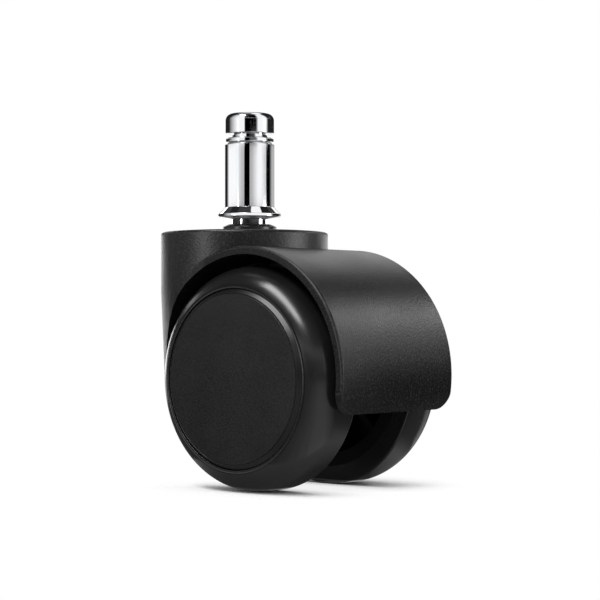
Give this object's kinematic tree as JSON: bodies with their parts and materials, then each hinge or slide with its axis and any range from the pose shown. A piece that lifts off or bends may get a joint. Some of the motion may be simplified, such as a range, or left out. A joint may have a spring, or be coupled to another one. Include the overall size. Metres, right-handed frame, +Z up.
{
  "type": "chair caster wheel",
  "caption": "Hooded twin-wheel chair caster on a chromed push-in grip-ring stem; its housing swivels about the stem and its wheels roll freely on the axle.",
  "frame": {"origin": "on the swivel axis, where the stem's plain shank meets its collar", "axes": "+Z up along the stem, out of the chair socket's mouth; +X from the swivel axis towards the axle and hood; Y along the axle, with the right wheel on the -Y side"},
  "size_m": [0.0629, 0.044, 0.0828],
  "materials": {
    "chrome": "bright chrome plating on turned steel",
    "spring_steel": "oiled spring steel",
    "steel": "ground and zinc-plated steel",
    "grained_nylon": "black moulded nylon with a fine spark-eroded grain",
    "core_nylon": "black moulded nylon, plain",
    "cap_nylon": "black moulded nylon, finely grained face and smooth bevel",
    "black_acetal": "smooth black acetal",
    "tyre_black": "smooth satin black polyurethane"
  },
  "bodies": {
    "stem": {"stem": "chrome", "grip_ring": "chrome", "stem_clip": "spring_steel"},
    "swivel": {"housing": "grained_nylon", "swivel_bush": "black_acetal", "thrust_pad": "steel", "axle": "steel", "right_inner_washer": "steel", "left_inner_washer": "steel", "right_outer_washer": "steel", "left_outer_washer": "steel", "right_axle_clip": "spring_steel", "left_axle_clip": "spring_steel"},
    "right_wheel": {"right_wheel_core": "core_nylon", "right_wheel_bush": "black_acetal", "right_tyre": "tyre_black", "right_hub_cap": "cap_nylon"},
    "left_wheel": {"left_wheel_core": "core_nylon", "left_wheel_bush": "black_acetal", "left_tyre": "tyre_black", "left_hub_cap": "cap_nylon"}
  },
  "joints": [
    {"name": "swivel_turn", "type": "hinge", "parent": "stem", "child": "swivel", "pos_m": [0, 0, 0], "axis": [0, 0, 1], "continuous": true},
    {"name": "right_wheel_roll", "type": "hinge", "parent": "swivel", "child": "right_wheel", "pos_m": [0.015, 0, -0.0377], "axis": [0, 1, 0], "continuous": true},
    {"name": "left_wheel_roll", "type": "hinge", "parent": "swivel", "child": "left_wheel", "pos_m": [0.015, 0, -0.0377], "axis": [0, 1, 0], "continuous": true}
  ]
}
